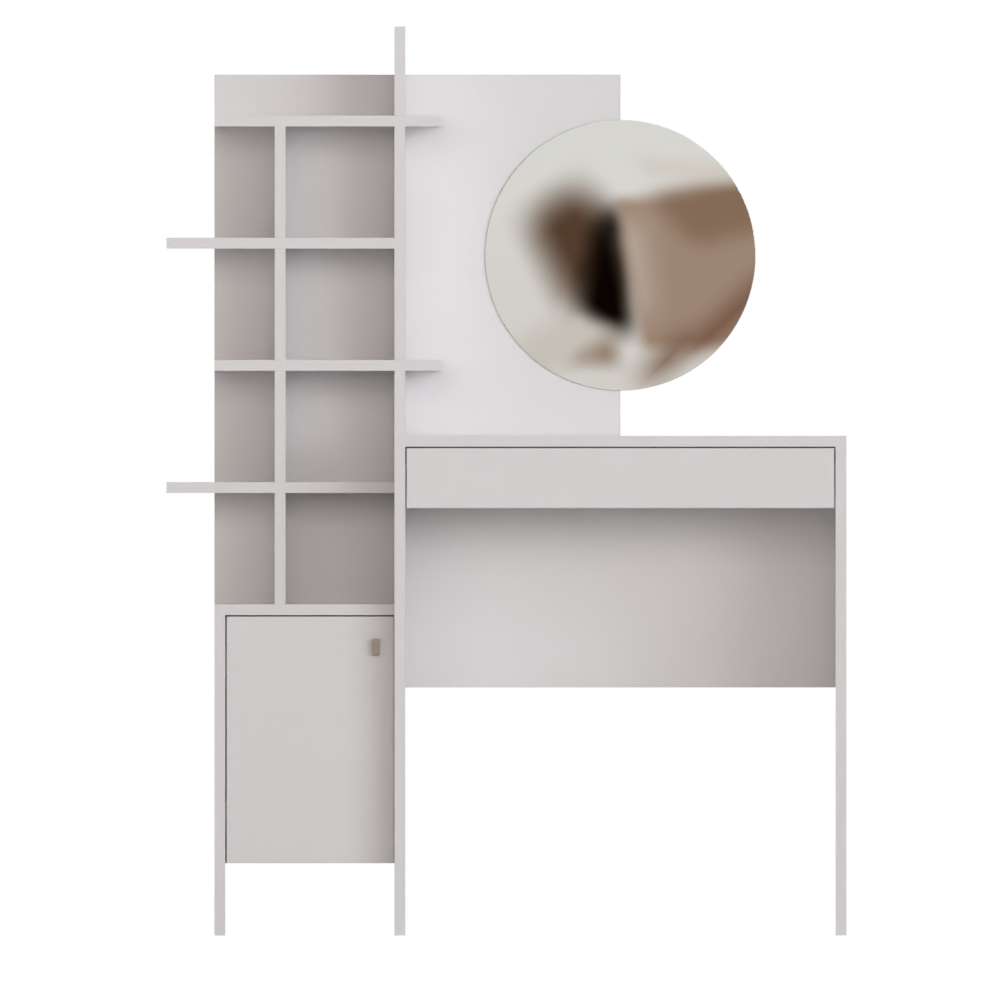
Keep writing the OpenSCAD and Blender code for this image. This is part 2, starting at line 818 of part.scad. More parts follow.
module mirror_tape() {
    color("#e4e4e0")
        for (i = [1 : 3]) {
            dx = min(mirror_d / 2, mirror_panel_w) * (i / 4);
            half = sqrt(pow(mirror_d / 2 - 12, 2) - pow(dx + 12, 2));
            translate([x_mirror - dx - 12, y_panel - tape_t, (desk_h + z_back_top) / 2 - half])
                cube([24, tape_t, 2 * half]);
        }
}

// Loose hardware, each kind of one body in one group

module cam_locks() {
    color("#c9b28a")
        place_cams(root_cams)
            cam_lock();
}

module cam_bolts() {
    color("#b9bbbd")
        place_cams(root_cams)
            cam_bolt();
}

module dowels() {
    color("#c8a46c")
        place_dowels(root_dowels);
}

module back_screws() {
    color("#b9bbbd")
        place_screws(back_screw_list, wood_screw);
}

module drawer_cam_locks() {
    color("#c9b28a")
        place_cams(drawer_cam_list)
            cam_lock();
}

module drawer_cam_bolts() {
    color("#b9bbbd")
        place_cams(drawer_cam_list)
            cam_bolt();
}

module drawer_dowels() {
    color("#c8a46c")
        place_dowels(drawer_dowel_list);
}

module drawer_screws() {
    color("#b9bbbd")
        place_screws(drawer_screw_list, wood_screw);
}

module runner_screws() {
    color("#b9bbbd")
        place_screws(runner_screw_list, small_screw);
}

module slide_screws() {
    color("#b9bbbd")
        place_screws(slide_screw_list, small_screw);
}

module cam_caps() {
    color("#d9d6d7")
        place_cams(capped_cams)
            cylinder(r = cam_r + 1, h = 0.8);
}

desk_left_side();
desk_right_side();
desk_top();
modesty_panel();
upright();
mirror_panel();
tower_back();
cabinet_side();
cabinet_top();
cabinet_bottom();
cabinet_back();
divider();
shelf(1);  // lower_shelf
shelf(2);  // middle_shelf
shelf(3);  // upper_shelf
shelf(4);  // top_shelf
door();
door_knob();
knob_screw();
hinge_cups();
hinge_cup_screws();
hinge_pins();
hinge_arms();
hinge_plates();
hinge_plate_screws();
door_bumpers();
drawer_front();
drawer_side(x_dl);  // drawer_left_side
drawer_side(x_dr_in);  // drawer_right_side
drawer_back();
drawer_bottom();
drawer_cam_locks();
drawer_cam_bolts();
drawer_dowels();
drawer_screws();
runner_outer(false);  // left_runner_outer
runner_middle(false);  // left_runner_middle
runner_inner(false);  // left_runner_inner
runner_outer(true);  // right_runner_outer
runner_middle(true);  // right_runner_middle
runner_inner(true);  // right_runner_inner
cage(false, x_cage_1, z_balls_1);  // left_outer_cage
cage(false, x_cage_2, z_balls_2);  // left_inner_cage
cage(true, x_cage_1, z_balls_1);  // right_outer_cage
cage(true, x_cage_2, z_balls_2);  // right_inner_cage
balls(false, z_balls_1);  // left_outer_balls
balls(false, z_balls_2);  // left_inner_balls
balls(true, z_balls_1);  // right_outer_balls
balls(true, z_balls_2);  // right_inner_balls
runner_screws();
slide_screws();
mirror_glass();
mirror_tape();
cam_locks();
cam_bolts();
dowels();
back_screws();
cam_caps();
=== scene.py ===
import math

import bmesh
import bpy
from mathutils import Matrix, Vector


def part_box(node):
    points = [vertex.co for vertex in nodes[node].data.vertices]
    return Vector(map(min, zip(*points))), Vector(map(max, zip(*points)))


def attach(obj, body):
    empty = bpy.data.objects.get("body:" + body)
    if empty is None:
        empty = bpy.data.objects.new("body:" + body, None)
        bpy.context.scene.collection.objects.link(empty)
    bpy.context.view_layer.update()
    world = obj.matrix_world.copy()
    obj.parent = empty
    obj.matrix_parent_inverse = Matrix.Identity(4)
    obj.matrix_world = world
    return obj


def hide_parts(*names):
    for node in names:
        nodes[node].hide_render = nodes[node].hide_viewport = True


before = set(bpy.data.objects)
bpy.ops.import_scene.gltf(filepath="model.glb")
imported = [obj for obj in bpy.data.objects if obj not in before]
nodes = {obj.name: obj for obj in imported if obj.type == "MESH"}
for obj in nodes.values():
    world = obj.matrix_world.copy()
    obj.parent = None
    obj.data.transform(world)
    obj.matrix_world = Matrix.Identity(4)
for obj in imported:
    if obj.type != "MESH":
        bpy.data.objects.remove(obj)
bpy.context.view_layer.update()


# The two desk sides are 16 mm chipboard, faced on both sides with white pearl melamine and
# closed with a matching edge band. They are sawn, banded and bored, and stand on their own
# lower edges, with the modesty panel between them at the back.
class Wire:
    """A value that runs through the nodes of a finish. Arithmetic on it adds Math nodes."""

    def __init__(self, tree, socket=None):
        self.tree = tree
        self.socket = socket

    def node(self, kind, settings, inputs, output=0):
        """Adds a node, with its settings first and then the values or wires of its sockets."""
        made = self.tree.nodes.new("ShaderNode" + kind)
        for name, value in settings.items():
            setattr(made, name, value)
        for name, value in inputs.items():
            if isinstance(value, Wire):
                self.tree.links.new(value.socket, made.inputs[name])
            else:
                made.inputs[name].default_value = value
        return Wire(self.tree, made.outputs[output]) if made.outputs else None

    def maths(self, operation, first, second=0.0):
        return self.node("Math", {"operation": operation}, {0: first, 1: second})

    def __add__(self, other):
        return self.maths("ADD", self, other)

    def __radd__(self, other):
        return self.maths("ADD", other, self)

    def __sub__(self, other):
        return self.maths("SUBTRACT", self, other)

    def __rsub__(self, other):
        return self.maths("SUBTRACT", other, self)

    def __mul__(self, other):
        return self.maths("MULTIPLY", self, other)

    def __rmul__(self, other):
        return self.maths("MULTIPLY", other, self)

    def __gt__(self, other):
        return self.maths("GREATER_THAN", self, other)

    def __lt__(self, other):
        return self.maths("LESS_THAN", self, other)

    def lesser(self, other):
        return self.maths("MINIMUM", self, other)

    def greater(self, other):
        return self.maths("MAXIMUM", self, other)

    def size(self):
        return self.maths("ABSOLUTE", self)

    def axis(self, number):
        return self.node("SeparateXYZ", {}, {"Vector": self}, number)

    def stretch(self, x, y, z):
        """This place with each direction multiplied, so that a texture runs out along one."""
        return self.node("VectorMath", {"operation": "MULTIPLY"}, {0: self, 1: (x, y, z)})

    def noise(self, scale, detail=2.0):
        return self.node("TexNoise", {}, {"Vector": self, "Scale": scale, "Detail": detail})

    def cells(self, scale, output="Distance"):
        return self.node("TexVoronoi", {}, {"Vector": self, "Scale": scale}, output)

    def step(self, start, end):
        """0 below start, 1 above end, and a soft step between them."""
        ends = {"Value": self, "From Min": start, "From Max": end}
        return self.node("MapRange", {"interpolation_type": "SMOOTHSTEP"}, ends)

    def colour(self, first, second):
        """The colour first where this wire is 0, and second where it is 1."""
        return self.node("Mix", {"data_type": "RGBA"}, {0: self, 6: first, 7: second}, 2)


def paint(red, green, blue):
    """A colour as a paint chart gives it, 0 to 255, in the light values that nodes use."""
    parts = [c / 255 for c in (red, green, blue)]
    return (*[p / 12.92 if p <= 0.04045 else ((p + 0.055) / 1.055) ** 2.4 for p in parts], 1.0)


def start_finish(name):
    """A new finish, and the wire of the place on the piece in metres."""
    finish = bpy.data.materials.new(name)
    finish.use_nodes = True
    finish.node_tree.nodes.clear()
    return finish, Wire(finish.node_tree).node("TexCoord", {}, {}, "Object")


def end_finish(place, sockets, relief, depth):
    """Closes a finish with its surface, over a relief of this depth in metres."""
    bump = {"Strength": 1.0, "Distance": depth, "Height": relief}
    sockets["Normal"] = place.node("Bump", {}, bump)
    surface = place.node("BsdfPrincipled", {}, sockets)
    place.node("OutputMaterial", {}, {"Surface": surface})


def dress(piece, finish):
    piece.data.materials.clear()
    piece.data.materials.append(finish)


def thin_direction(panel):
    """The two far corners of a flat piece, and the direction in which it is thinnest."""
    low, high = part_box(panel)
    span = [high[axis] - low[axis] for axis in range(3)]
    return low, high, span.index(min(span))


pearl_white = paint(228, 225, 226)
pearl_fleck = paint(232, 229, 231)
band_white = paint(229, 225, 226)
seam_grey = paint(194, 190, 189)
chip_light = paint(206, 174, 130)
chip_dark = paint(150, 110, 70)
band_thickness = 0.0008
coat_thickness = 0.0004
seam_half_width = 0.00008
melamine_relief = 0.0002
board_edge_round = 0.0006


def melamine(board):
    """Pearl melamine on the faces, band on the edges with its hairline seam, chips in the bores."""
    low, high, thin = thin_direction(board)
    finish, place = start_finish(board + "_melamine")
    below = []
    for axis in range(3):
        along = place.axis(axis)
        below.append((along - low[axis]).lesser(high[axis] - along))
    under_face = below.pop(thin)
    under_edge = below[0].lesser(below[1])
    core = under_face.lesser(under_edge) > coat_thickness
    face = under_face < coat_thickness
    seam = ((under_edge - band_thickness).size() < seam_half_width) * face
    band = (under_edge < coat_thickness) * (1 - face)
    pearl = place.noise(1400.0, 3.0)
    cloud = place.noise(9.0)
    flecks = (pearl * 0.7 + cloud * 0.3).step(0.35, 0.7)
    chips = place.cells(420.0, "Color").axis(0)
    coat = flecks.colour(pearl_white, pearl_fleck)
    coat = band.colour(coat, band_white)
    coat = seam.colour(coat, seam_grey)
    base = core.colour(coat, chips.colour(chip_light, chip_dark))
    rough = (0.46 + pearl * 0.1 - band * 0.05) * (1 - core) + core * 0.9
    relief = pearl * 0.12 * (1 - core) - seam * 0.5 + core * chips
    end_finish(place, {"Base Color": base, "Roughness": rough}, relief, melamine_relief)
    return finish


def ease_edges(part, width):
    """Takes the sharpness off the corners of a carried-over part."""
    weld = part.modifiers.new("weld", "WELD")
    weld.merge_threshold = 0.00001
    flat = part.modifiers.new("flat", "DECIMATE")
    flat.decimate_type = "DISSOLVE"
    flat.angle_limit = math.radians(0.5)
    ease = part.modifiers.new("ease", "BEVEL")
    ease.width = width
    ease.segments = 2
    ease.limit_method = "ANGLE"
    ease.angle_limit = math.radians(50)
    ease.harden_normals = True


def make_boards(*names):
    for name in names:
        board = nodes[name]
        dress(board, melamine(name))
        ease_edges(board, board_edge_round)


make_boards("desk_left_side", "desk_right_side")


# The desk top lies on both sides, held by cam locks, and the modesty panel is hung under its
# back edge on dowels. Both are the same coated board.
make_boards("desk_top", "modesty_panel")


# The upright stands on the left end of the desk top. The mirror panel and the tower's back are
# let in behind it, flush with the wall side, and screwed to it from behind.
make_boards("upright", "mirror_panel", "tower_back")


# The cabinet carries the tower. Its own side runs down to the floor, and its bottom and top are
# locked between that side and the desk side.
make_boards("cabinet_side", "cabinet_bottom", "cabinet_top")


# A thin fibreboard panel in grooves closes the cabinet behind. It is white lacquered on both
# faces and shows brown fibres where it was sawn.
lacquer_white = paint(223, 220, 219)
lacquer_shade = paint(215, 211, 209)
fibre_light = paint(146, 112, 80)
fibre_dark = paint(112, 82, 56)
lacquer_thickness = 0.0002
lacquer_relief = 0.0002


def fibreboard(panel):
    low, high, thin = thin_direction(panel)
    finish, place = start_finish(panel + "_fibreboard")
    along = place.axis(thin)
    sawn = (along - low[thin]).lesser(high[thin] - along) > lacquer_thickness
    roller = place.noise(700.0, 4.0)
    cloud = place.noise(14.0)
    fibres = place.noise(2600.0, 5.0)
    coat = (roller * 0.5 + cloud * 0.5).step(0.3, 0.75).colour(lacquer_white, lacquer_shade)
    base = sawn.colour(coat, fibres.colour(fibre_light, fibre_dark))
    rough = 0.42 + roller * 0.14 + sawn * 0.35
    relief = roller * 0.2 + sawn * fibres
    end_finish(place, {"Base Color": base, "Roughness": rough}, relief, lacquer_relief)
    return finish


dress(nodes["cabinet_back"], fibreboard("cabinet_back"))


# The divider and the four shelves make the bays. Two shelves reach past the tower at the left,
# and two are notched round the upright and reach past it over the desk.
make_boards("divider", "lower_shelf", "middle_shelf", "upper_shelf", "top_shelf")


# Cast zinc cam locks sit in round pockets and draw their steel bolts in, beside beech dowels.
# Long screws hold the backs, and white caps close the cams that a user would see.
cast_zinc = paint(186, 184, 178)
cast_dull = paint(150, 148, 143)
zinc_bright = paint(214, 216, 220)
zinc_cloud = paint(196, 198, 201)
beech_light = paint(216, 184, 140)
beech_dark = paint(184, 146, 100)
cap_white = paint(228, 225, 226)
cap_shade = paint(218, 215, 216)


def plated(name, bright, cloudy, rough, grain=(1.0, 1.0, 1.0), depth=0.00001):
    """Plated or cast metal: cloudy patches, and a fine grain drawn out along one direction."""
    finish, place = start_finish(name)
    cloud = place.noise(160.0, 3.0)
    fine = place.stretch(*grain).noise(5200.0, 3.0)
    base = cloud.step(0.35, 0.7).colour(bright, cloudy)
    uneven = rough + cloud * 0.1 + fine * 0.12
    sockets = {"Base Color": base, "Metallic": 1.0, "Roughness": uneven}
    end_finish(place, sockets, fine, depth)
    return finish


def beech():
    """Turned beech, with its pores drawn out along the dowel."""
    finish, place = start_finish("beech")
    grain = place.stretch(1.0, 1.0, 0.12).noise(900.0, 5.0)
    base = grain.step(0.35, 0.68).colour(beech_light, beech_dark)
    end_finish(place, {"Base Color": base, "Roughness": 0.6 + grain * 0.2}, grain, 0.00015)
    return finish


def moulded(name, light, dark, rough, grain=2600.0):
    """Moulded plastic with a fine eroded grain."""
    finish, place = start_finish(name)
    fine = place.noise(grain, 3.0)
    base = fine.step(0.3, 0.7).colour(light, dark)
    end_finish(place, {"Base Color": base, "Roughness": rough + fine * 0.15}, fine, 0.00003)
    return finish


def piece(name, body, finish, slot, shape):
    """A new piece from a bmesh in the frame's metres, riding on its body."""
    mesh = bpy.data.meshes.new(name)
    shape.to_mesh(mesh)
    shape.free()
    made = bpy.data.objects.new(name, mesh)
    bpy.context.scene.collection.objects.link(made)
    dress(made, finish)
    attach(made, body)
    return made


def separate_parts(node):
    """The loose parts of a carried-over node, each as the two far corners and its points."""
    welded = bmesh.new()
    welded.from_mesh(nodes[node].data)
    bmesh.ops.remove_doubles(welded, verts=welded.verts, dist=0.00001)
    parts, reached = [], set()
    for first in welded.verts:
        if first in reached:
            continue
        reached.add(first)
        points, front = [], [first]
        while front:
            point = front.pop()
            points.append(point.co.copy())
            for edge in point.link_edges:
                near = edge.other_vert(point)
                if near not in reached:
                    reached.add(near)
                    front.append(near)
        low = Vector([min(p[axis] for p in points) for axis in range(3)])
        high = Vector([max(p[axis] for p in points) for axis in range(3)])
        parts.append((low, high, points))
    welded.free()
    return parts


def ring(shape, radius, height, sides=24):
    """A ring of points round the Z axis."""
    turn = 2 * math.pi / sides
    return [
        shape.verts.new((radius * math.cos(turn * n), radius * math.sin(turn * n), height))
        for n in range(sides)
    ]


def join(shape, first, second):
    """Closes two rings of the same count with a band of faces."""
    count = len(first)
    for n in range(count):
        m = (n + 1) % count
        shape.faces.new((first[n], first[m], second[m], second[n])).smooth = True


def add_screw(shape, head, length, head_depth, shank, place):
    """A countersunk screw with a cross recess, its head's face at z = 0 and its point below."""
    rim_height = 0.0002
    wing, arm = head * 0.14, head * 0.58
    recess_taper, recess_depth = 0.6, head_depth * 0.8
    fresh = bmesh.new()
    rim = ring(fresh, head, 0.0)
    below = ring(fresh, head, -rim_height)
    neck = ring(fresh, shank, -head_depth)
    tip = ring(fresh, shank, -length)
    for first, second in ((rim, below), (below, neck), (neck, tip)):
        join(fresh, second, first)
    fresh.faces.new(tip)
    corner = [(arm, -wing), (arm, wing), (wing, wing)]
    outline = []
    for quarter in range(4):
        spin = Matrix.Rotation(math.radians(90 * quarter), 2)
        outline += [spin @ Vector(c) for c in corner]
    top = [fresh.verts.new((*c, 0.0)) for c in outline]
    floor = [fresh.verts.new((*(c * recess_taper), -recess_depth)) for c in outline]
    edges = [fresh.edges.get((rim[n - 1], rim[n])) for n in range(len(rim))]
    edges += [fresh.edges.new((top[n - 1], top[n])) for n in range(len(top))]
    bmesh.ops.triangle_fill(fresh, use_beauty=True, edges=edges)
    for n in range(len(top)):
        fresh.faces.new((top[n - 1], top[n], floor[n], floor[n - 1]))
    fresh.faces.new(floor)
    bmesh.ops.recalc_face_normals(fresh, faces=fresh.faces)
    bmesh.ops.transform(fresh, matrix=place, verts=fresh.verts)
    passed = bpy.data.meshes.new("passed")
    fresh.to_mesh(passed)
    fresh.free()
    shape.from_mesh(passed)
    bpy.data.meshes.remove(passed)


def off_line(point, middle, straight):
    """How far a point is from the line that runs through middle along straight."""
    away = point - middle
    return (away - straight * away.dot(straight)).length


def make_screws(node, body):
    """Screws with recessed heads in place of the plain ones of the frame."""
    near_end, shank_slack = 0.0001, 1.05
    shape = bmesh.new()
    for low, high, points in separate_parts(node):
        span = high - low
        length = max(span)
        axis = list(span).index(length)
        middle = (low + high) / 2
        straight = Vector([1.0 if n == axis else 0.0 for n in range(3)])
        widths = [(p, off_line(p, middle, straight)) for p in points]
        low_end, high_end = [
            max(width for p, width in widths if abs(p[axis] - end[axis]) < near_end)
            for end in (low, high)
        ]
        outward = straight if high_end > low_end else -straight
        face = middle + outward * length / 2
        head, shank = max(low_end, high_end), min(low_end, high_end)
        on_shank = [p for p, width in widths if width < shank * shank_slack]
        head_depth = min(abs(p[axis] - face[axis]) for p in on_shank)
        place = Matrix.Translation(face) @ outward.to_track_quat("Z", "X").to_matrix().to_4x4()
        add_screw(shape, head, length, head_depth, shank, place)
    screws = piece(node + "_recessed", body, screw_zinc, "screw_steel", shape)
    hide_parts(node)


lock_zinc = plated("lock_zinc", cast_zinc, cast_dull, 0.34, depth=0.00004)
screw_zinc = plated("screw_zinc", zinc_bright, zinc_cloud, 0.2)
dowel_beech = beech()
dress(nodes["cam_locks"], lock_zinc)
dress(nodes["cam_bolts"], screw_zinc)
dress(nodes["dowels"], dowel_beech)
dress(nodes["cam_caps"], moulded("cap_moulding", cap_white, cap_shade, 0.4))
make_screws("back_screws", "root")


# Two concealed hinges carry the door: a pressed steel cup with its flange in the door, a steel
# pin, a bent arm and a plate on the cabinet side, all nickel plated.
nickel_bright = paint(206, 204, 200)
nickel_cloud = paint(184, 181, 176)
hinge_edge_round = 0.0003
hinge_nickel = plated("hinge_nickel", nickel_bright, nickel_cloud, 0.16)
for name in ("hinge_cups", "hinge_arms", "hinge_plates"):
    dress(nodes[name], hinge_nickel)
    ease_edges(nodes[name], hinge_edge_round)
dress(nodes["hinge_pins"], screw_zinc)
make_screws("hinge_cup_screws", "door")
make_screws("hinge_plate_screws", "root")


# The door is one coated board with its two cup bores. Its knob, a small bar in satin taupe
# lacquer on a turned neck, is screwed on from inside.
make_boards("door")
make_screws("knob_screw", "door")

knob_taupe = paint(162, 147, 137)
knob_shade = paint(152, 137, 128)


def satin_taupe():
    finish, place = start_finish("satin_taupe")
    fine = place.noise(3800.0, 3.0)
    cloud = place.noise(120.0)
    base = (fine * 0.6 + cloud * 0.4).step(0.3, 0.7).colour(knob_taupe, knob_shade)
    sockets = {"Base Color": base, "Metallic": 0.25, "Roughness": 0.4 + fine * 0.1}
    end_finish(place, sockets, fine, 0.00002)
    return finish


def rounded_outline(half_width, half_height, corner, steps=8):
    """A rounded rectangle across X and Z, anticlockwise from its upper right corner."""
    points = []
    for quarter, (side, end) in enumerate(((1, 1), (-1, 1), (-1, -1), (1, -1))):
        for n in range(steps + 1):
            turn = math.radians(90 * (quarter + n / steps))
            x = side * (half_width - corner) + corner * math.cos(turn)
            z = end * (half_height - corner) + corner * math.sin(turn)
            points.append((x, z))
    return points


def turned_ring(shape, middle, radius, depth, sides=32):
    """A ring of points round the line that runs to the back through middle, at this depth."""
    turns = [math.tau * n / sides for n in range(sides)]
    return [
        shape.verts.new((middle.x + radius * math.cos(t), depth, middle.z + radius * math.sin(t)))
        for t in turns
    ]


def make_knob():
    """A small upright bar, rounded all round, on a turned neck with a collar on the door."""
    low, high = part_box("door_knob")
    middle = (low + high) / 2
    side_gap, crown_height = 0.0005, 0.0004
    bar_depth, corner, round_over = 0.009, 0.0008, 0.0008
    neck_radius, collar_radius, neck_in_bar = 0.004, 0.0054, 0.001
    half_width, half_height = (high.x - low.x) / 2 - side_gap, (high.z - low.z) / 2
    shape = bmesh.new()

    turns = [math.radians(15 * n) for n in range(7)]
    curve = [(round_over * (1 - math.cos(t)), round_over * (1 - math.sin(t))) for t in turns]
    rims = [(low.y + crown_height + back, inset) for back, inset in curve]
    rims += [(low.y + bar_depth - back, inset) for back, inset in reversed(curve)]
    loops = []
    for y, inset in rims:
        reach, rise = half_width - inset, half_height - inset
        outline = rounded_outline(reach, rise, corner + round_over - inset)
        loops.append([shape.verts.new((middle.x + x, y, middle.z + z)) for x, z in outline])
    for first, second in zip(loops, loops[1:]):
        join(shape, first, second)
    crown = shape.verts.new((middle.x, low.y, middle.z))
    front = loops[0]
    for n in range(len(front)):
        shape.faces.new((crown, front[n - 1], front[n])).smooth = True
    shape.faces.new(loops[-1])

    start, door = low.y + bar_depth - neck_in_bar, high.y
    profile = [
        (neck_radius, start),
        (neck_radius, door - 0.0024),
        (0.0042, door - 0.0020),
        (0.0050, door - 0.0020),
        (collar_radius, door - 0.0015),
        (collar_radius, door),
    ]
    near = shape.verts.new((middle.x, start, middle.z))
    turned = [turned_ring(shape, middle, radius, y) for radius, y in profile]
    far = shape.verts.new((middle.x, door, middle.z))
    for first, second in zip(turned, turned[1:]):
        join(shape, first, second)
    for centre, rim in ((near, turned[0]), (far, turned[-1])):
        for n in range(len(rim)):
            shape.faces.new((centre, rim[n - 1], rim[n]))
    bmesh.ops.recalc_face_normals(shape, faces=shape.faces)
    knob = piece("knob", "door", satin_taupe(), "knob", shape)
    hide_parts("door_knob")


make_knob()


# Two bumpers of clear soft rubber are stuck to the front edge of the cabinet bottom, where the
# shut door rests on them.
rubber_clear = paint(214, 214, 210)
rubber_shade = paint(200, 200, 194)


def make_bumpers():
    """Domes with a flat back, as they come off their sheet."""
    rows, fullness = 8, 0.7
    shape = bmesh.new()
    for low, high, points in separate_parts("door_bumpers"):
        middle = (low + high) / 2
        radius, thick = (high.x - low.x) / 2, high.y - low.y
        last = turned_ring(shape, middle, radius, high.y)
        shape.faces.new(last)
        for row in range(1, rows + 1):
            turn = math.radians(90 * row / rows)
            narrowed = radius * math.cos(turn) ** fullness
            level = turned_ring(shape, middle, narrowed, high.y - thick * math.sin(turn))
            join(shape, last, level)
            last = level
        bmesh.ops.remove_doubles(shape, verts=last, dist=0.00001)
    bmesh.ops.recalc_face_normals(shape, faces=shape.faces)
    finish = moulded("bumper_rubber", rubber_clear, rubber_shade, 0.18, 400.0)
    domes = piece("bumper_domes", "root", finish, "bumper", shape)
    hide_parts("door_bumpers")


make_bumpers()


# The drawer box is locked to its front: two coated sides, a back and a thin fibreboard bottom
# that slides in from behind in grooves.
make_boards("drawer_front", "drawer_left_side", "drawer_right_side", "drawer_back")
dress(nodes["drawer_bottom"], fibreboard("drawer_bottom"))
dress(nodes["drawer_cam_locks"], lock_zinc)
dress(nodes["drawer_cam_bolts"], screw_zinc)
dress(nodes["drawer_dowels"], dowel_beech)
make_screws("drawer_screws", "drawer")


# Full-extension runners of rolled zinc-plated steel strip: the outer member on the desk side,
# the middle one between two rows of balls in plastic cages, the inner one on the drawer.
strip_bright = paint(198, 201, 205)
strip_cloud = paint(188, 191, 195)
cage_light = paint(46, 46, 48)
cage_dark = paint(36, 36, 38)
ball_bright = paint(222, 222, 224)
ball_cloud = paint(212, 212, 214)
rolled_along_y = (1.0, 0.03, 1.0)
runner_zinc = plated("runner_zinc", strip_bright, strip_cloud, 0.24, rolled_along_y)
cage_black = moulded("cage_black", cage_light, cage_dark, 0.42)
ball_steel = plated("ball_steel", ball_bright, ball_cloud, 0.04, depth=0.000002)
for side in ("left", "right"):
    for member in ("outer", "middle", "inner"):
        dress(nodes[f"{side}_runner_{member}"], runner_zinc)
    for row in ("outer", "inner"):
        dress(nodes[f"{side}_{row}_cage"], cage_black)
        dress(nodes[f"{side}_{row}_balls"], ball_steel)
make_screws("runner_screws", "root")
make_screws("slide_screws", "drawer")


# The mirror is a disc of 4 mm float glass, silvered behind and ground round its edge. Strips of
# foam tape bond it to its panel.
silver = paint(247, 248, 247)
silver_tint = paint(244, 246, 245)
glass_edge = paint(202, 210, 208)
glass_edge_dark = paint(180, 194, 190)
backing_paint = paint(112, 110, 108)
foam_white = paint(232, 232, 226)
foam_shade = paint(214, 214, 206)
skin = 0.0001


def mirror_finish():
    """Silver in front, the ground edge of the glass, and the backing paint behind."""
    low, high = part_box("mirror_glass")
    finish, place = start_finish("mirror")
    depth = place.axis(1)
    edge = (depth - low[1]) > skin
    back = (high[1] - depth) < skin
    fine = place.noise(3000.0, 3.0)
    front = place.noise(3.0).colour(silver, silver_tint)
    sides = fine.colour(glass_edge, glass_edge_dark)
    base = back.colour(edge.colour(front, sides), backing_paint)
    rough = 0.004 + edge * (0.55 + fine * 0.15)
    sockets = {"Base Color": base, "Metallic": 1 - edge, "Roughness": rough}
    end_finish(place, sockets, edge * fine, 0.00002)
    return finish


def foam():
    """Closed-cell foam, whose cut pores show at the edge of the strips."""
    finish, place = start_finish("foam_tape")
    pores = place.cells(1500.0)
    base = pores.colour(foam_white, foam_shade)
    end_finish(place, {"Base Color": base, "Roughness": 0.8 + pores * 0.15}, pores, 0.0001)
    return finish


dress(nodes["mirror_glass"], mirror_finish())
dress(nodes["mirror_tape"], foam())


# The studio lamps are far away, so their light falls evenly over the whole table: a window at
# the right in front, a pale room in front and above, and a little light from the other sides.
table_middle = Vector((0, 0, 0.65))
lamp_distance = 4


def far_lamp(name, azimuth, elevation, spread, strength, colour, in_reflections=True):
    """Light from one direction, azimuth 0 in front and 90 at the right, with a soft edge."""
    a, e = math.radians(azimuth), math.radians(elevation)
    to_lamp = Vector((math.sin(a) * math.cos(e), -math.cos(a) * math.cos(e), math.sin(e)))
    lamp = bpy.data.objects.new(name, bpy.data.lights.new(name, "SUN"))
    lamp.data.angle = math.radians(spread)
    lamp.data.energy = strength
    lamp.data.color = colour
    lamp.location = table_middle + to_lamp * lamp_distance
    lamp.rotation_euler = to_lamp.to_track_quat("Z", "Y").to_euler()
    lamp.visible_glossy = in_reflections
    bpy.context.scene.collection.objects.link(lamp)


far_lamp("window_high", 36, 17, 14, 0.29, (0.88, 0.95, 1.0))
far_lamp("window_side", 45, 8, 14, 0.21, (0.76, 0.88, 1.0))
far_lamp("window_low", 29, 3, 14, 0.17, (0.90, 0.96, 1.0))
far_lamp("window_edge", 22, 3, 14, 0.46, (0.93, 0.97, 1.0))
far_lamp("room_front", -6, 3, 24, 0.77, (1.0, 0.93, 0.87), in_reflections=False)
far_lamp("room_front_right", 6, 3, 24, 0.66, (1.0, 0.95, 0.89), in_reflections=False)
far_lamp("room_right", 90, 42, 36, 0.30, (1.0, 0.97, 0.94))
far_lamp("room_right_low", 90, 12, 36, 0.80, (0.90, 0.96, 1.0))
far_lamp("room_top", 0, 80, 36, 0.25, (1.0, 0.96, 0.92))
far_lamp("room_left", -95, 35, 36, 0.30, (1.0, 0.95, 0.90))
far_lamp("room_back_left", -150, 25, 36, 0.36, (1.0, 0.93, 0.87))
far_lamp("room_back_right", 155, 25, 36, 0.36, (1.0, 0.93, 0.87))


# The floor is a pale matt sheet that keeps the table's shadow. What is seen of it turns white
# away from the table, as the surround is, and neither of them lights anything by that.
floor_white = paint(236, 236, 235)
floor_speckle = paint(232, 232, 231)
plain_white = (1.0, 1.0, 1.0, 1.0)
floor_radius = 36.0
floor_below_feet = 0.0005
glow_at_table = 0.5
glow_starts, glow_full = 1.0, 3.0


def seen_directly(place):
    """1 for what is seen straight, in a reflection or through glass, and 0 for light itself."""
    kinds = ("Camera", "Glossy", "Transmission")
    rays = [place.node("LightPath", {}, {}, f"Is {kind} Ray") for kind in kinds]
    return rays[0].greater(rays[1]).greater(rays[2])


def floor_finish():
    finish, place = start_finish("floor_white")
    radius = place.node("VectorMath", {"operation": "LENGTH"}, {0: place}, "Value")
    speckle = place.noise(60.0, 4.0)
    matt = place.node("BsdfDiffuse", {}, {"Color": speckle.colour(floor_white, floor_speckle)})
    glow = place.node("Emission", {}, {"Color": plain_white})
    outward = radius.step(glow_starts, glow_full)
    share = seen_directly(place) * (glow_at_table + outward * (1 - glow_at_table))
    surface = place.node("MixShader", {}, {0: share, 1: matt, 2: glow})
    place.node("OutputMaterial", {}, {"Surface": surface})
    return finish


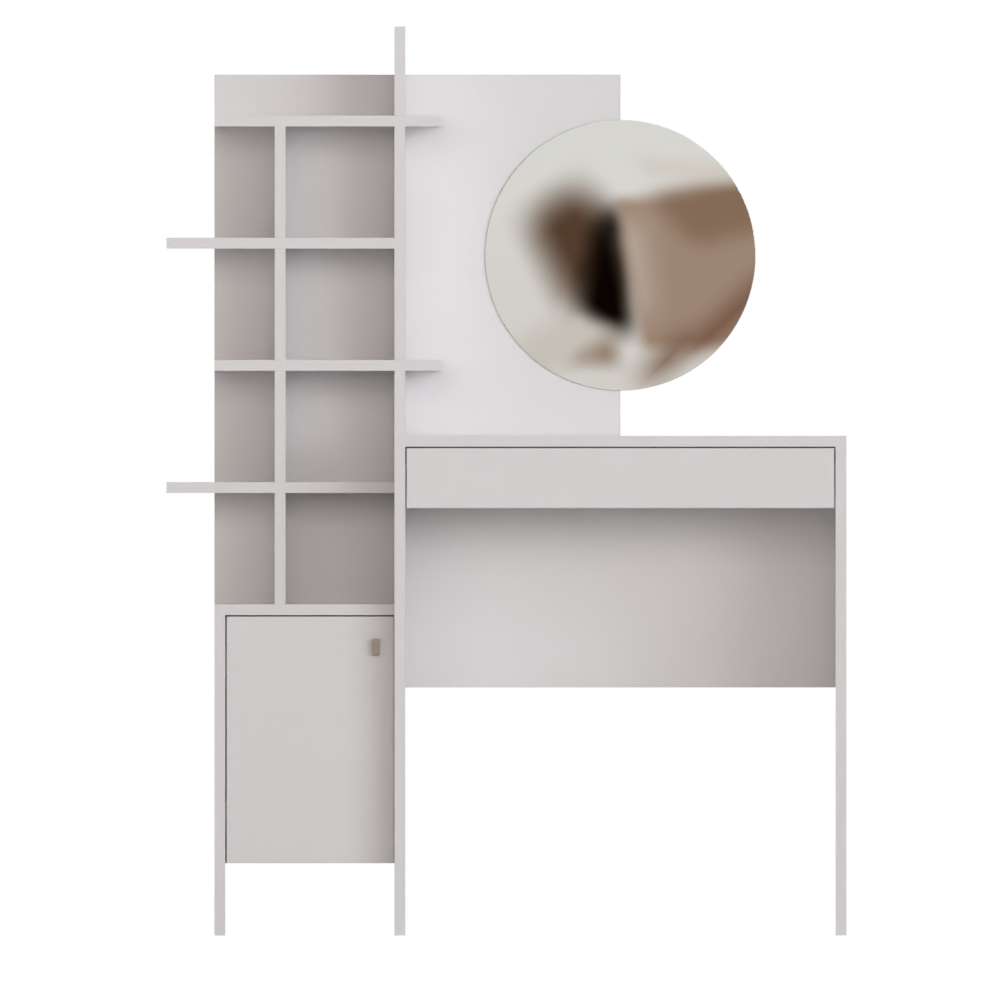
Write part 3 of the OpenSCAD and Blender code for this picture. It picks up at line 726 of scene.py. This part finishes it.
floor_mesh = bpy.data.meshes.new("floor")
sheet = bmesh.new()
bmesh.ops.create_circle(sheet, cap_ends=True, radius=floor_radius, segments=64)
sheet.to_mesh(floor_mesh)
sheet.free()
floor = bpy.data.objects.new("floor", floor_mesh)
floor.location.z = -floor_below_feet
bpy.context.scene.collection.objects.link(floor)
dress(floor, floor_finish())

world = bpy.data.worlds.new("surround")
bpy.context.scene.world = world
world.use_nodes = True
world.node_tree.nodes.clear()
sky = Wire(world.node_tree)
air = sky.node("Background", {}, {"Color": plain_white, "Strength": seen_directly(sky)})
sky.node("OutputWorld", {}, {"Surface": air})


# What the mirror sees: the far side of a pale room, far out of focus, on a card that only
# reflections meet. Each patch is a soft slab at a place from the mirror's middle.
card_distance = 5.0
card_half_width, card_half_height = 0.9, 0.6
card_glow = 1.07
wall_low = (0.824, 0.806, 0.785, 1)
wall_high = (0.845, 0.835, 0.820, 1)

# Across, up, half width, half height, turn, softness, taper, red, green, blue.
room_patches = {
    "curtain": (-0.059, 0.018, 0.058, 0.075, 0.61, 0.043, -2.5, 0.33, 0.25, 0.195),
    "doorway": (-0.016, -0.024, 0.034, 0.087, -0.11, 0.028, -2.8, 0.07, 0.05, 0.035),
    "chair": (0.118, -0.024, 0.105, 0.111, 0.04, 0.016, 1.35, 0.615, 0.52, 0.455),
    "chair_lit": (0.028, -0.019, 0.012, 0.071, 0.18, 0.038, 6.0, 0.72, 0.66, 0.61),
    "chair_top": (0.173, 0.074, 0.099, 0.043, 0.25, 0.027, 5.0, 0.52, 0.42, 0.35),
    "chair_fold": (0.228, -0.028, 0.177, 0.006, 0.75, 0.040, 6.0, 0.40, 0.27, 0.21),
    "rug": (-0.041, -0.135, 0.033, 0.024, -0.03, 0.021, -6.0, 0.54, 0.45, 0.38),
    "stool": (0.067, -0.155, 0.040, 0.006, 0.79, 0.041, 6.0, 0.39, 0.27, 0.20),
    "lamp_glow": (0.145, 0.123, 0.115, 0.012, -0.07, 0.019, 3.8, 0.82, 0.79, 0.76),
    "floor_edge": (-0.112, -0.143, 0.089, 0.034, 0.55, 0.027, -4.8, 0.776, 0.749, 0.72),
}


def card_finish(middle):
    finish, place = start_finish("room_out_of_focus")
    across, up = place.axis(0) - middle.x, place.axis(2) - middle.z
    seen = up.step(-0.13, 0.13).colour(wall_low, wall_high)
    for x, z, half_width, half_height, turn, soft, taper, *colour in room_patches.values():
        c, s = math.cos(turn), math.sin(turn)
        u = (across - x) * c + (up - z) * s
        v = (up - z) * c - (across - x) * s
        side = v * (half_width * taper) + half_width - u.size()
        end = half_height - v.size()
        inside = side.step(-soft, soft) * end.step(-soft, soft)
        seen = inside.colour(seen, (*colour, 1))
    shown = place.node("Gamma", {}, {"Color": seen, "Gamma": 2.2})
    glow = place.node("Emission", {}, {"Color": shown, "Strength": card_glow})
    place.node("OutputMaterial", {}, {"Surface": glow})
    return finish


mirror_low, mirror_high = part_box("mirror_glass")
mirror_middle = (mirror_low + mirror_high) / 2
card_mesh = bpy.data.meshes.new("room_card")
sheet = bmesh.new()
for side, end in ((-1, -1), (1, -1), (1, 1), (-1, 1)):
    x = mirror_middle.x + side * card_half_width
    sheet.verts.new((x, -card_distance, mirror_middle.z + end * card_half_height))
sheet.faces.new(sheet.verts)
sheet.to_mesh(card_mesh)
sheet.free()
card = bpy.data.objects.new("room_card", card_mesh)
bpy.context.scene.collection.objects.link(card)
dress(card, card_finish(mirror_middle))
card.visible_camera = card.visible_diffuse = card.visible_shadow = False
card.visible_transmission = card.visible_volume_scatter = False


# The camera stands square in front of the table and takes in the photo's frame, without
# perspective.
photo_width = 1.478
photo_middle = (-0.0095, 0.6436)
camera_distance = 6.0
camera = bpy.data.objects.new("camera", bpy.data.cameras.new("camera"))
camera.data.type = "ORTHO"
camera.data.ortho_scale = photo_width
camera.location = (photo_middle[0], -camera_distance, photo_middle[1])
camera.rotation_euler = (math.radians(90), 0, 0)
camera.data.clip_end = 40.0
bpy.context.scene.collection.objects.link(camera)
bpy.context.scene.camera = camera
bpy.context.scene.view_settings.view_transform = "Standard"
